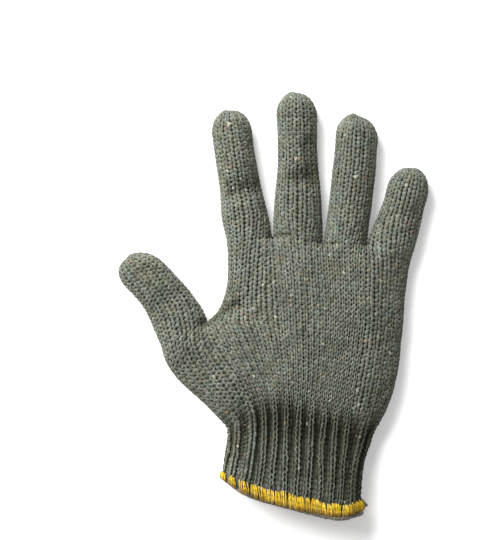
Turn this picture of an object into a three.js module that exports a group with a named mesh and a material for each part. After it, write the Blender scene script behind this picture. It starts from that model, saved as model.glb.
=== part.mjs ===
// A seamless knitted cotton work glove, lying palm down with its fingers spread.
// A glove machine knits the finger stalls one by one as closed tubes, joins them into the hand, adds the
// thumb stall at its crotch, and narrows to a ribbed elastic cuff, whose raw edge is then overlocked with
// a thicker yarn. Each of those knitted sections is a piece here, hollow, with walls of real thickness.
// Millimetres. +Y points to the fingertips, +X to the little finger, +Z up from the surface it lies on.
import * as THREE from "three";
import { mergeVertices } from "three/addons/utils/BufferGeometryUtils.js";

// The knit
const WALL = 1.8; // thickness of the knitted cloth
const PIECE_GAP = 0.3; // between two knitted sections, and round the cloth in its hem
const WALES_PER_RIB = 3; // a rib of the cuff is two raised columns of stitches and a sunken one

// The hand and the cuff, measured flat
const KNUCKLE_WIDTH = 111; // across the roots of the four fingers
const HAND_LENGTH = 107.4; // wrist to finger roots
const WRIST_WIDTH = 90;
const WRIST_SHIFT = -9.9; // of the wrist's middle, from the middle of the knuckles
const CUFF_LENGTH = 48;
const HEM_WIDTH = 83.4;
const HEM_SHIFT = -16.8; // the cuff leans towards the thumb side

// The five stalls: length from the root, width halfway up, lean in degrees, and sideways bow
const THUMB_LENGTH = 57.2;
const THUMB_WIDTH = 26.4;
const THUMB_LEAN = -38;
const THUMB_BOW = 3.8;
const INDEX_LENGTH = 78.3;
const INDEX_WIDTH = 23.8;
const INDEX_LEAN = -9.2;
const INDEX_BOW = -0.8;
const MIDDLE_LENGTH = 87.8;
const MIDDLE_WIDTH = 23.8;
const MIDDLE_LEAN = -0.8;
const MIDDLE_BOW = 0.3;
const RING_LENGTH = 77;
const RING_WIDTH = 25.4;
const RING_LEAN = 5.9;
const RING_BOW = 1.1;
const LITTLE_LENGTH = 49.8;
const LITTLE_WIDTH = 24.4;
const LITTLE_LEAN = 16.6;
const LITTLE_BOW = 0.8;

// Heights of the upper side above the surface
const THUMB_HEIGHT = 16.5;
const FINGER_HEIGHT = 15;
const KNUCKLE_HEIGHT = 15.5;
const PALM_HEIGHT = 17.5;
const WRIST_HEIGHT = 19.5;
const HEM_HEIGHT = 23;
const SIDE_SHARE = 0.4; // height of the fold along the outline, as a share of the upper side's
const PRESS = 1.25; // how widely the underside is pressed flat

// Rounded ends, crotches and the hand's own collar round each stall's root
const TIP_DEPTH = 9.5; // length over which a stall's two sides close
const TIP_CORNER = 14; // length over which its outline rounds off
const TIP_FLAT = 0.3; // width of the closing line, as a share of the stall's
const FINGER_WEB = 20; // how far the dip between two fingers runs into the hand
const THUMB_WEB = 26;
const COLLAR = 3;

// The ribs and the hem
const RIB_DEPTH = 1.2;
const RIB_RISE = 8; // length over which the ribs begin, below the wrist
const HEM_BAND = 6.4; // height of the overlocked band
const HEM_YARN = 1; // how far its yarn stands off the cloth
const HEM_TURN = 1.6; // how far the band runs below the cloth's raw edge

// Rows of mesh cells along each section
const TIP_ROWS = 4;
const STALL_ROWS = 7;
const UPPER_ROWS = 6;
const LOWER_ROWS = 7;
const CUFF_ROWS = 5;
const SAME_POINT = 0.00137; // corners whose places round alike to this are one

// A place by its share of the width from the middle, and of the length from the wrist, at three rows.
const handPoint = (x, y) => new THREE.Vector2(x * KNUCKLE_WIDTH, y * HAND_LENGTH);
const wristPoint = (x, y) => new THREE.Vector2(WRIST_SHIFT + x * WRIST_WIDTH, y * CUFF_LENGTH);
const hemPoint = (x, y) => new THREE.Vector2(HEM_SHIFT + x * HEM_WIDTH, y * CUFF_LENGTH);

// The hand and cuff are five strips, one below each stall. Six lines bound them, thumb side first, each
// placed at the finger roots, at the row where the thumb joins, at the wrist and at the hem.
const LINES = [
  {
    join: handPoint(-0.851, 0.436),
    wrist: wristPoint(-0.5, -0.03), hem: hemPoint(-0.5, -0.625),
  },
  {
    root: handPoint(-0.5, 1.022), join: handPoint(-0.603, 0.592),
    wrist: wristPoint(-0.33, 0.22), hem: hemPoint(-0.31, -0.819),
  },
  {
    root: handPoint(-0.251, 1.056), join: handPoint(-0.219, 0.592),
    wrist: wristPoint(-0.12, 0.27), hem: hemPoint(-0.075, -0.948),
  },
  {
    root: handPoint(0.019, 1.022), join: handPoint(0.035, 0.564),
    wrist: wristPoint(0.1, 0.14), hem: hemPoint(0.155, -1.038),
  },
  {
    root: handPoint(0.251, 1.011), join: handPoint(0.241, 0.542),
    wrist: wristPoint(0.31, 0.03), hem: hemPoint(0.35, -1.083),
  },
  {
    root: handPoint(0.5, 0.972), join: handPoint(0.446, 0.52),
    wrist: wristPoint(0.5, 0), hem: hemPoint(0.51, -1.02),
  },
];

// The outline's lines bend between those rows, each by two handles. The lines inside it run straight.
const BENDS = {
  upper: {
    1: [handPoint(-0.484, 0.883), handPoint(-0.473, 0.687)],
    5: [handPoint(0.473, 0.86), handPoint(0.451, 0.676)],
  },
  lower: {
    0: [handPoint(-0.819, 0.263), handPoint(-0.62, 0.156)],
    5: [handPoint(0.43, 0.341), handPoint(0.404, 0.145)],
  },
  cuff: {
    0: [wristPoint(-0.5, -0.213), hemPoint(-0.493, -0.45)],
    5: [wristPoint(0.425, -0.325), hemPoint(0.47, -0.613)],
  },
};

// The stalls in the order of their strips. Wales are the columns of stitches over one side, and slant is
// how much farther the tip reaches on its thumb side than in its middle.
const STALLS = [
  {
    name: "thumb_stall", wales: 8, length: THUMB_LENGTH, width: THUMB_WIDTH,
    lean: THUMB_LEAN, bow: THUMB_BOW, slant: -0.4, height: THUMB_HEIGHT,
  },
  {
    name: "index_stall", wales: 8, length: INDEX_LENGTH, width: INDEX_WIDTH,
    lean: INDEX_LEAN, bow: INDEX_BOW, slant: 1.4, height: FINGER_HEIGHT,
  },
  {
    name: "middle_stall", wales: 8, length: MIDDLE_LENGTH, width: MIDDLE_WIDTH,
    lean: MIDDLE_LEAN, bow: MIDDLE_BOW, slant: 0.6, height: FINGER_HEIGHT,
  },
  {
    name: "ring_stall", wales: 8, length: RING_LENGTH, width: RING_WIDTH,
    lean: RING_LEAN, bow: RING_BOW, slant: 1, height: FINGER_HEIGHT,
  },
  {
    name: "little_stall", wales: 7, length: LITTLE_LENGTH, width: LITTLE_WIDTH,
    lean: LITTLE_LEAN, bow: LITTLE_BOW, slant: -0.6, height: FINGER_HEIGHT,
  },
];
const THUMB = 0;
const INDEX = 1;
const LITTLE = 4;
const FINGERS = [1, 2, 3, 4];
const STRIPS = [0, 1, 2, 3, 4];

// Dents in the upper side, each along a short line on the hand's shares, or swellings where the depth is
// below zero. Depth and width are lengths.
const FOLDS = [
  { fold: "crease at the thumb's web", from: [-0.62, 0.572], to: [-0.44, 0.676], depth: 3.4, width: 3 },
  { fold: "swell of the hand", from: [-0.1, 0.78], to: [-0.12, 0.36], depth: -4, width: 30 },
  { fold: "swell below the thumb", from: [-0.68, 0.45], to: [-0.5, 0.27], depth: -2.6, width: 13 },
  { fold: "dent of the index stall", from: [-0.46, 1.33], to: [-0.31, 1.37], depth: 1.2, width: 4.5 },
  { fold: "dent of the middle stall", from: [-0.12, 1.41], to: [0.01, 1.44], depth: 1.2, width: 5 },
  { fold: "dent of the ring stall", from: [0.1, 1.37], to: [0.29, 1.33], depth: 0.9, width: 5 },
  { fold: "dent of the little stall", from: [0.37, 1.2], to: [0.52, 1.16], depth: 0.8, width: 4.5 },
  { fold: "dent of the thumb stall", from: [-0.91, 0.66], to: [-0.74, 0.76], depth: 1.4, width: 4.5 },
  { fold: "index and middle crotch", from: [-0.262, 1.058], to: [-0.17, 1.062], depth: 1.6, width: 2.2 },
  { fold: "middle and ring crotch", from: [0.004, 1.02], to: [0.073, 1.008], depth: 1.6, width: 2.2 },
  { fold: "ring and little crotch", from: [0.245, 1], to: [0.287, 0.948], depth: 1.6, width: 2.4 },
];

const mix = THREE.MathUtils.lerp;
const smooth = THREE.MathUtils.smoothstep;
const quarterRound = (share) => Math.sqrt(Math.max(0, 1 - (1 - Math.min(1, share)) ** 2));
const shares = (count) => Array.from({ length: count + 1 }, (_, i) => i / count);

// How deep the dents are at a place.
function foldDepth(x, y) {
  let depth = 0;
  for (const fold of FOLDS) {
    const start = handPoint(...fold.from);
    const along = handPoint(...fold.to).sub(start);
    const here = new THREE.Vector2(x, y).sub(start);
    const share = THREE.MathUtils.clamp(here.dot(along) / along.lengthSq(), 0, 1);
    const away = here.distanceTo(along.multiplyScalar(share)) / fold.width;
    depth += fold.depth * Math.exp(-away * away);
  }
  return depth;
}

// A point of a cross-section. across runs from 0 at its left end to 1, and side is 1 on top and -1 below.
// An end with a fill of 0 rounds off to a side fold, and one with 1 runs straight into its neighbour.
// close is 1 along a stall and 0 where its two sides have met. row is the line that it follows.
function sectionPoint({ row, top, base = 0, leftFill = 0, rightFill = 0, close = 1 }, across, side) {
  const leftTurn = ((leftFill - 1) * Math.PI) / 2;
  const rightTurn = ((1 - rightFill) * Math.PI) / 2;
  const turn = mix(leftTurn, rightTurn, across);
  const span = Math.sin(rightTurn) - Math.sin(leftTurn);
  const shift = span > 0 ? (Math.sin(turn) - Math.sin(leftTurn)) / span : across;
  const round = close * Math.max(0, Math.cos(turn));
  const { x, y } = row.getPoint(shift);
  const fold = mix(base, top, SIDE_SHARE);
  const upper = mix(fold, top - foldDepth(x, y), round);
  const lower = mix(fold, base, Math.min(1, PRESS * Math.sqrt(round)));
  return new THREE.Vector3(x, y, side > 0 ? upper : lower);
}

// A stall's cross-section at a distance from its root, measured along its middle line.
function stallSection(i, distance) {
  const { length, width, lean, bow, slant, height } = STALLS[i];
  const row = i === THUMB ? "join" : "root";
  const left = LINES[i][row];
  const right = LINES[i + 1][row];
  const share = distance / length;
  const up = new THREE.Vector2(0, 1).rotateAround(new THREE.Vector2(), -THREE.MathUtils.degToRad(lean));
  const sideways = new THREE.Vector2(up.y, -up.x);
  const middle = left.clone().lerp(right, 0.5);
  middle.addScaledVector(up, distance).addScaledVector(sideways, 4 * bow * share * (1 - share));
  const half = right.clone().sub(left).divideScalar(2);
  half.lerp(sideways.multiplyScalar(width / 2), smooth(share, 0.08, 0.58));
  half.multiplyScalar(mix(TIP_FLAT, 1, quarterRound((length - distance) / TIP_CORNER)));
  half.addScaledVector(up, -slant * smooth(share, 0.5, 1));
  return {
    row: new THREE.LineCurve(middle.clone().sub(half), middle.clone().add(half)),
    top: mix(i === THUMB ? PALM_HEIGHT : KNUCKLE_HEIGHT, height, smooth(share, 0, 0.4)),
    close: quarterRound((length - distance) / TIP_DEPTH),
  };
}

// Line i between two of the rows, as a curve.
function lineCurve(i, upper, lower, bends) {
  const start = LINES[i][upper];
  const end = LINES[i][lower];
  const [first, second] = bends[i] ?? [start.clone().lerp(end, 1 / 3), start.clone().lerp(end, 2 / 3)];
  return new THREE.CubicBezierCurve(start, first, second, end);
}

const upperLines = LINES.map((_, i) => (i === 0 ? null : lineCurve(i, "root", "join", BENDS.upper)));
const lowerLines = LINES.map((_, i) => lineCurve(i, "join", "wrist", BENDS.lower));
const cuffLines = LINES.map((_, i) => lineCurve(i, "wrist", "hem", BENDS.cuff));

// Strip i's part of a row. bend runs from 0, where it is straight, to 1, where the whole row is smooth.
function stripRow(lines, i, share, bend) {
  const ends = lines.map((line) => line?.getPointAt(share));
  const straight = ends[i + 1].clone().sub(ends[i]);
  const slopeOver = (from, to) => (from && to ? to.clone().sub(from).divideScalar(2) : straight);
  const startSlope = straight.clone().lerp(slopeOver(ends[i - 1], ends[i + 1]), bend);
  const endSlope = straight.clone().lerp(slopeOver(ends[i], ends[i + 2]), bend);
  const first = ends[i].clone().addScaledVector(startSlope, 1 / 3);
  const second = ends[i + 1].clone().addScaledVector(endSlope, -1 / 3);
  return new THREE.CubicBezierCurve(ends[i], first, second, ends[i + 1]);
}

// Strip i between the finger roots and the row where the thumb joins.
function upperSection(i, share) {
  const webFill = (line) => quarterRound((share * line.getLength()) / FINGER_WEB);
  return {
    row: stripRow(upperLines, i, share, 0),
    top: mix(KNUCKLE_HEIGHT, PALM_HEIGHT, smooth(share, 0, 1)),
    leftFill: i === INDEX ? 0 : webFill(upperLines[i]),
    rightFill: i === LITTLE ? 0 : webFill(upperLines[i + 1]),
  };
}

// Strip i between that row and the wrist.
function lowerSection(i, share) {
  const web = quarterRound((share * lowerLines[1].getLength()) / THUMB_WEB);
  return {
    row: stripRow(lowerLines, i, share, smooth(share, 0, 0.6)),
    top: mix(PALM_HEIGHT, WRIST_HEIGHT, smooth(share, 0.2, 1)),
    leftFill: [0, web, 1, 1, 1][i],
    rightFill: [web, 1, 1, 1, 0][i],
  };
}

// Strip i between the wrist and the cuff's raw edge. The cuff lifts by what the hem's yarn needs below it.
const bandTop = 1 - HEM_BAND / CUFF_LENGTH;
function cuffSection(i, share) {
  return {
    row: stripRow(cuffLines, i, share, 1),
    top: mix(WRIST_HEIGHT, HEM_HEIGHT, smooth(share, 0.2, 1)),
    base: mix(0, PIECE_GAP + HEM_YARN, smooth(share, 0.3, bandTop)),
    leftFill: i === THUMB ? 0 : 1,
    rightFill: i === LITTLE ? 0 : 1,
  };
}

// A skin is the outside of the cloth in four-cornered cells, one column to each wale. Cells that meet
// share their corners. Each belongs to a piece, or to a narrow gap that is left open between two pieces.
class Skin {
  constructor() {
    this.points = [];
    this.cells = [];
    this.known = new Map();
  }

  corner(point) {
    const key = point.toArray().map((value) => Math.round(value / SAME_POINT)).join();
    if (!this.known.has(key)) this.known.set(key, this.points.push(point) - 1);
    return this.known.get(key);
  }

  // Adds one side of some sections, from the fingertips down, and gives back their corners. The cells
  // below a section go to the piece of the same place in the list.
  addSide(sections, pieces, wales, side) {
    const row = (section) => shares(wales)
      .map((share) => this.corner(sectionPoint(section, side > 0 ? share : 1 - share, side)));
    const rows = sections.map(row);
    pieces.forEach((piece, r) => {
      for (let c = 0; c < wales; c++) {
        this.cells.push({ piece, corners: [rows[r][c], rows[r + 1][c], rows[r + 1][c + 1], rows[r][c + 1]] });
      }
    });
    return rows;
  }

  triangles(piece) {
    return this.cells.filter((cell) => !piece || cell.piece === piece)
      .flatMap(({ corners: [a, b, c, d] }) => [[a, b, c], [a, c, d]])
      .filter(([a, b, c]) => a !== b && b !== c && c !== a);
  }

  // The way out of the cloth at each corner. The two edges of a gap share theirs, so it stays parallel.
  normals() {
    const normals = this.points.map(() => new THREE.Vector3());
    for (const [a, b, c] of this.triangles()) {
      const face = new THREE.Triangle(this.points[a], this.points[b], this.points[c]);
      const weighted = face.getNormal(new THREE.Vector3()).multiplyScalar(face.getArea());
      for (const id of [a, b, c]) normals[id].add(weighted);
    }
    for (const { corners: [a, b, c, d] } of this.cells.filter((cell) => cell.piece === "gap")) {
      for (const [above, below] of [[a, b], [d, c]]) {
        normals[above].normalize().add(normals[below].normalize()).normalize();
        normals[below].copy(normals[above]);
      }
    }
    return normals.map((normal) => normal.normalize());
  }

  // The closed wall of cloth of one piece: its outside, its inside, and a rim along each open edge.
  wall(piece) {
    const normals = this.normals();
    const outside = this.triangles(piece);
    const positions = [];
    const outer = (id) => positions.push(...this.points[id]);
    const inner = (id) => positions.push(...this.points[id].clone().addScaledVector(normals[id], -WALL));
    const edges = new Set(outside.flatMap(([a, b, c]) => [`${a} ${b}`, `${b} ${c}`, `${c} ${a}`]));
    for (const [a, b, c] of outside) {
      [a, b, c].forEach(outer);
      [c, b, a].forEach(inner);
    }
    for (const edge of edges) {
      const [a, b] = edge.split(" ");
      if (edges.has(`${b} ${a}`)) continue;
      [b, a].forEach(outer);
      inner(a);
      outer(b);
      [a, b].forEach(inner);
    }
    return closedGeometry(positions);
  }
}

function closedGeometry(positions) {
  const loose = new THREE.BufferGeometry();
  loose.setAttribute("position", new THREE.Float32BufferAttribute(positions, 3));
  const geometry = mergeVertices(loose, 1e-4);
  geometry.computeVertexNormals();
  return geometry;
}

const glove = new Skin();

// Adds both sides of strip i.
function addStrip(i, sections, pieces) {
  for (const side of [1, -1]) glove.addSide(sections, pieces, STALLS[i].wales, side);
}

// Each stall runs from its closed tip down to a gap, and the hand's collar carries on to the root.
for (const i of STRIPS) {
  const { name, length } = STALLS[i];
  const tube = length - TIP_DEPTH - PIECE_GAP - COLLAR;
  const tip = shares(TIP_ROWS).map((share) => length - TIP_DEPTH * (1 - Math.cos((share * Math.PI) / 2)));
  const shaft = shares(STALL_ROWS).slice(1).map((share) => length - TIP_DEPTH - tube * share);
  const sections = [...tip, ...shaft, COLLAR, 0].map((distance) => stallSection(i, distance));
  addStrip(i, sections, [...Array(TIP_ROWS + STALL_ROWS).fill(name), "gap", "palm_body"]);
}

// The hand ends just above the wrist, where the cuff begins.
for (const i of FINGERS) {
  addStrip(i, shares(UPPER_ROWS).map((share) => upperSection(i, share)), Array(UPPER_ROWS).fill("palm_body"));
}
const handEnd = 1 - PIECE_GAP / lowerLines[1].getLength();
for (const i of STRIPS) {
  const rows = [...shares(LOWER_ROWS).map((share) => share * handEnd), 1];
  const pieces = [...Array(LOWER_ROWS).fill("palm_body"), "gap"];
  addStrip(i, rows.map((share) => lowerSection(i, share)), pieces);
}

// The cuff carries on each wale of the hand, right round. Its last row is as high as the hem's band.
const cuffRows = [...shares(CUFF_ROWS).map((share) => share * bandTop), 1];
const cuffRings = cuffRows.map(() => []);
for (const side of [1, -1]) {
  for (const i of side > 0 ? STRIPS : STRIPS.toReversed()) {
    const sections = cuffRows.map((share) => cuffSection(i, share));
    const rows = glove.addSide(sections, Array(CUFF_ROWS + 1).fill("ribbed_cuff"), STALLS[i].wales, side);
    rows.forEach((row, r) => cuffRings[r].push(...row.slice(0, -1)));
  }
}

// Every third wale of the cuff is sunken, from a little below the wrist down to the raw edge.
const plainNormals = glove.normals();
cuffRings.forEach((ring, r) => {
  const depth = RIB_DEPTH * smooth(cuffRows[r] * CUFF_LENGTH, 0, RIB_RISE);
  ring.forEach((id, wale) => {
    if (wale % WALES_PER_RIB === 0) glove.points[id].addScaledVector(plainNormals[id], -depth);
  });
});

// The overlock yarn wraps the raw edge: down the outside of the cloth, round its end, and up the inside.
function hemGeometry() {
  const normals = glove.normals();
  const [topRing, endRing] = cuffRings.slice(-2);
  const outside = PIECE_GAP + HEM_YARN;
  const inside = -WALL - outside;
  const sections = endRing.map((end, k) => {
    const top = topRing[k];
    const down = glove.points[end].clone().sub(glove.points[top]).normalize();
    const at = (id, out, below) => {
      const place = glove.points[id].clone();
      return place.addScaledVector(normals[id], out).addScaledVector(down, below);
    };
    return [
      at(top, outside, HEM_YARN), at(end, outside, 0), at(end, -WALL / 2, HEM_TURN), at(end, inside, 0),
      at(top, inside, HEM_YARN), at(top, inside + HEM_YARN, 0), at(end, inside + HEM_YARN, PIECE_GAP),
      at(end, PIECE_GAP, PIECE_GAP), at(top, PIECE_GAP, 0),
    ];
  });
  const positions = [];
  sections.forEach((section, k) => {
    const next = sections[(k + 1) % sections.length];
    section.forEach((a, j) => {
      const b = section[(j + 1) % section.length];
      const c = next[(j + 1) % section.length];
      for (const corner of [a, b, c, a, c, next[j]]) positions.push(...corner);
    });
  });
  return closedGeometry(positions);
}

const cloth = new THREE.MeshStandardMaterial({ color: "#6d7062", roughness: 0.95, metalness: 0 });
const stretchCloth = new THREE.MeshStandardMaterial({ color: "#565849", roughness: 0.95, metalness: 0 });
const hemYarn = new THREE.MeshStandardMaterial({ color: "#c9a332", roughness: 0.85, metalness: 0 });

function namedMesh(name, geometry, material) {
  const mesh = new THREE.Mesh(geometry, material);
  mesh.name = name;
  return mesh;
}

const group = new THREE.Group();
group.add(namedMesh("palm_body", glove.wall("palm_body"), cloth));
for (const { name } of STALLS) group.add(namedMesh(name, glove.wall(name), cloth));
group.add(namedMesh("ribbed_cuff", glove.wall("ribbed_cuff"), stretchCloth));
group.add(namedMesh("overlock_hem", hemGeometry(), hemYarn));

// The origin lies on the surface, under the middle of the outline.
const box = new THREE.Box3().setFromObject(group);
const middle = box.getCenter(new THREE.Vector3());
group.position.set(-middle.x, -middle.y, -box.min.z);

export default group;
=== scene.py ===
import math

import bmesh
import bpy
import numpy as np
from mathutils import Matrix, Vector


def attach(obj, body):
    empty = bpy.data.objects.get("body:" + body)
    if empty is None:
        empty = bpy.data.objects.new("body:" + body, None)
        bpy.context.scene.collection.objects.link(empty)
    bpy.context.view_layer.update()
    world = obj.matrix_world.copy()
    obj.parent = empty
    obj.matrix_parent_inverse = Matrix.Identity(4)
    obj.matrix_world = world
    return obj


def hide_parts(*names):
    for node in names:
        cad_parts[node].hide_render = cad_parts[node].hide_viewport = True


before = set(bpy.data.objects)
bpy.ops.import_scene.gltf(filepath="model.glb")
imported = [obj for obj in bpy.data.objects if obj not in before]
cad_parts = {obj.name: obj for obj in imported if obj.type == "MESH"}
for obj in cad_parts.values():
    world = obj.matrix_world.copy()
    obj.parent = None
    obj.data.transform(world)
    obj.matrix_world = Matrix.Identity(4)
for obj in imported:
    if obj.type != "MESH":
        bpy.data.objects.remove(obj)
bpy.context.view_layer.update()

# The camera looks straight down on the glove through a long lens, and the fingertips point up in the
# picture. Lengths up to the first stall are in metres.
CAMERA_HEIGHT = 3.0
PICTURE_HEIGHT = 0.324  # length of table that the picture's long side takes in
PICTURE_MIDDLE = (-0.0173, 0.0204)
camera_data = bpy.data.cameras.new("studio_camera")
camera_data.sensor_width = 36
camera_data.lens = camera_data.sensor_width * CAMERA_HEIGHT / PICTURE_HEIGHT
camera = bpy.data.objects.new("studio_camera", camera_data)
camera.location = (*PICTURE_MIDDLE, CAMERA_HEIGHT)
bpy.context.scene.collection.objects.link(camera)
bpy.context.scene.camera = camera

# The table is plain matt white card on a light box, wide enough to fill every view.
TABLE_REACH = 3
TABLE_DROP = 0.0002  # keeps the card clear of the lowest stitches
table_mesh = bmesh.new()
bmesh.ops.create_grid(table_mesh, x_segments=1, y_segments=1, size=TABLE_REACH)
bmesh.ops.translate(table_mesh, verts=table_mesh.verts, vec=(0, 0, -TABLE_DROP))
table_data = bpy.data.meshes.new("white_card")
table_mesh.to_mesh(table_data)
table_mesh.free()
table = bpy.data.objects.new("white_card", table_data)
bpy.context.scene.collection.objects.link(table)
card = bpy.data.materials.new("matt white card")
card.use_nodes = True
card_shader = card.node_tree.nodes["Principled BSDF"]
card_shader.inputs["Base Color"].default_value = (0.93, 0.93, 0.925, 1)
card_shader.inputs["Roughness"].default_value = 0.9
card_shader.inputs["Emission Color"].default_value = (1, 1, 1, 1)
card_shader.inputs["Emission Strength"].default_value = 0.27
table_data.materials.append(card)

# Studio light: an even white room, and one large soft lamp beyond the fingertips on the thumb's side.
room = bpy.data.worlds.new("white room")
room.use_nodes = True
room.node_tree.nodes["Background"].inputs["Color"].default_value = (1, 1, 1, 1)
room.node_tree.nodes["Background"].inputs["Strength"].default_value = 0.38
bpy.context.scene.world = room
bpy.context.scene.view_settings.view_transform = "Standard"
LAMP_PLACE = Vector((-0.93, 1.02, 0.86))
lamp_data = bpy.data.lights.new("soft_lamp", "AREA")
lamp_data.size = 1.5
lamp_data.energy = 98
lamp = bpy.data.objects.new("soft_lamp", lamp_data)
lamp.location = LAMP_PLACE
lamp.rotation_euler = (-LAMP_PLACE).to_track_quat("-Z", "Y").to_euler()
bpy.context.scene.collection.objects.link(lamp)

# Five finger stalls, thumb first, each knitted as a closed tube of grey-green heather cotton string from
# the tip down. Each is a thin wall of cloth that carries the legs of its stitches as real lengths of
# yarn, in the place of its CAD node. Lengths from here on are in millimetres.
MM = 0.001
HAND_SHIFT = np.array([27.921, -73.148, 0])  # from the middle of the wrist to the frame's origin
KNUCKLE_WIDTH, HAND_LENGTH = 111, 107.4
WRIST_WIDTH, WRIST_SHIFT, CUFF_LENGTH = 90, -9.9, 48
HEM_WIDTH, HEM_SHIFT = 83.4, -16.8
PALM_HEIGHT, KNUCKLE_HEIGHT, WRIST_HEIGHT, HEM_HEIGHT = 17.5, 15.5, 19.5, 23
SIDE_SHARE = 0.4  # height of the side folds, as a share of the whole height
PRESS = 1.25  # how flat the table presses the far side
TIP_DEPTH, TIP_CORNER, TIP_FLAT = 9.5, 14, 0.12
TIP_ROWS = 5  # rows of stitches that close over a tip
TIP_GAP = 0.02  # of a row, between the tip and the first place that is asked for
WIDTH_EASE = (0.08, 0.58)  # where a stall, from its root, goes over to its own width
SLANT_START, HEIGHT_EASE = 0.5, 0.4
STALL_SIZES = {  # leans are in degrees, and the wales are those of one side
    "length": (57.2, 78.3, 87.8, 77, 49.8),
    "width": (26.4, 23.8, 23.8, 25.4, 24.4),
    "lean": (-38, -9.2, -0.8, 5.9, 16.6),
    "bow": (3.8, -0.8, 0.3, 1.1, 0.8),
    "slant": (-0.4, 0.7, 0.6, 1, -0.6),
    "height": (16.5, 15, 15, 15, 15),
    "wales": (8, 8, 8, 8, 7),
    "rows": (23, 32, 35, 31, 20),
}


def on_hand(x, y):
    return np.array([x * KNUCKLE_WIDTH, y * HAND_LENGTH])


def on_wrist(x, y):
    return np.array([WRIST_SHIFT + x * WRIST_WIDTH, y * CUFF_LENGTH])


def at_hem(x, y):
    return np.array([HEM_SHIFT + x * HEM_WIDTH, y * CUFF_LENGTH])


# Six lines bound the five strips of knitting below the stalls. Each is given at the finger roots, at the
# thumb, at the wrist and at the hem.
LINES = [
    (None, on_hand(-0.851, 0.436), on_wrist(-0.5, -0.03), at_hem(-0.5, -0.625)),
    (on_hand(-0.5, 1.022), on_hand(-0.603, 0.592), on_wrist(-0.33, 0.22), at_hem(-0.31, -0.819)),
    (on_hand(-0.251, 1.056), on_hand(-0.219, 0.592), on_wrist(-0.12, 0.27), at_hem(-0.075, -0.948)),
    (on_hand(0.019, 1.022), on_hand(0.035, 0.564), on_wrist(0.1, 0.14), at_hem(0.155, -1.038)),
    (on_hand(0.251, 1.011), on_hand(0.241, 0.542), on_wrist(0.31, 0.03), at_hem(0.35, -1.083)),
    (on_hand(0.5, 0.972), on_hand(0.446, 0.52), on_wrist(0.5, 0), at_hem(0.51, -1.02)),
]
ROOT, JOIN, WRIST = 0, 1, 2

# Dents in the upper side: where from, where to, the depth and the width. A depth below zero swells.
DENTS = [
    ((-0.62, 0.572), (-0.44, 0.676), 4.6, 3.4),
    ((-0.1, 0.78), (-0.12, 0.36), -3, 30),
    ((0.27, 0.8), (0.27, 0.38), -2.2, 19),
    ((-0.68, 0.45), (-0.5, 0.27), -2.6, 13),
    ((-0.46, 1.31), (-0.31, 1.33), 2.9, 5.5),
    ((-0.12, 1.38), (0.01, 1.4), 2.9, 5.5),
    ((-0.05, 1.57), (-0.035, 1.35), 2.6, 5),
    ((-0.4, 0), (0.3, -0.06), 3.6, 14),
    ((0.1, 1.37), (0.29, 1.33), 0.9, 5),
    ((0.37, 1.2), (0.52, 1.16), 0.8, 4.5),
    ((-0.91, 0.66), (-0.74, 0.76), 1.4, 4.5),
    ((-0.262, 1.058), (-0.17, 1.062), 2.2, 1.6),
    ((0.004, 1.02), (0.073, 1.008), 2.2, 1.6),
    ((0.245, 1), (0.287, 0.948), 2.6, 1.9),
]
TINY, LEAST_LENGTH = 1e-6, 1e-9


def mix(a, b, share):
    return a + (b - a) * share


def smooth(value, low, high):
    share = np.clip((value - low) / (high - low), 0, 1)
    return share * share * (3 - 2 * share)


def quarter_round(share):
    return math.sqrt(max(0, 1 - (1 - min(1, share)) ** 2))


def on_curve(points, share):
    a, b, c, d = points
    share = np.asarray(share)[..., None]
    rest = 1 - share
    return a * rest ** 3 + 3 * b * rest ** 2 * share + 3 * c * rest * share ** 2 + d * share ** 3


def straight(start, end):
    return (start, mix(start, end, 1 / 3), mix(start, end, 2 / 3), end)


def dent_depth(places):
    depth = 0
    for start, end, deep, wide in DENTS:
        start, end = on_hand(*start), on_hand(*end)
        along = end - start
        share = np.clip((places - start) @ along / (along @ along), 0, 1)
        away = np.linalg.norm(places - start - share[:, None] * along, axis=1) / wide
        depth = depth + deep * np.exp(-away * away)
    return depth


# The columns of stitches, the wales, crowd at a side fold as round a tube, and run evenly elsewhere.
def column_shift(across, left_even, right_even):
    left_turn = (left_even - 1) * math.pi / 2
    right_turn = (1 - right_even) * math.pi / 2
    span = math.sin(right_turn) - math.sin(left_turn)
    if span < TINY:
        return across
    return (np.sin(mix(left_turn, right_turn, across)) - math.sin(left_turn)) / span


# A cross-section is a row across, its height, its base, how full its two ends are, how open it is, and
# how even its columns are at its two ends.
def section_points(section, across, side):
    row, top, base, left_fill, right_fill, open_share, left_even, right_even = section
    shift = column_shift(across, left_even, right_even)
    left_sine = math.sin((left_fill - 1) * math.pi / 2)
    right_sine = math.sin((1 - right_fill) * math.pi / 2)
    sine = mix(left_sine, right_sine, shift)
    fullness = open_share * np.sqrt(np.maximum(0, 1 - sine * sine))
    places = on_curve(row, shift)
    fold = mix(base, top, SIDE_SHARE)
    upper = mix(fold, top - dent_depth(places), fullness)
    lower = mix(fold, base, np.minimum(1, PRESS * np.sqrt(fullness)))
    return np.column_stack([places, np.where(side > 0, upper, lower)])


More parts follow.
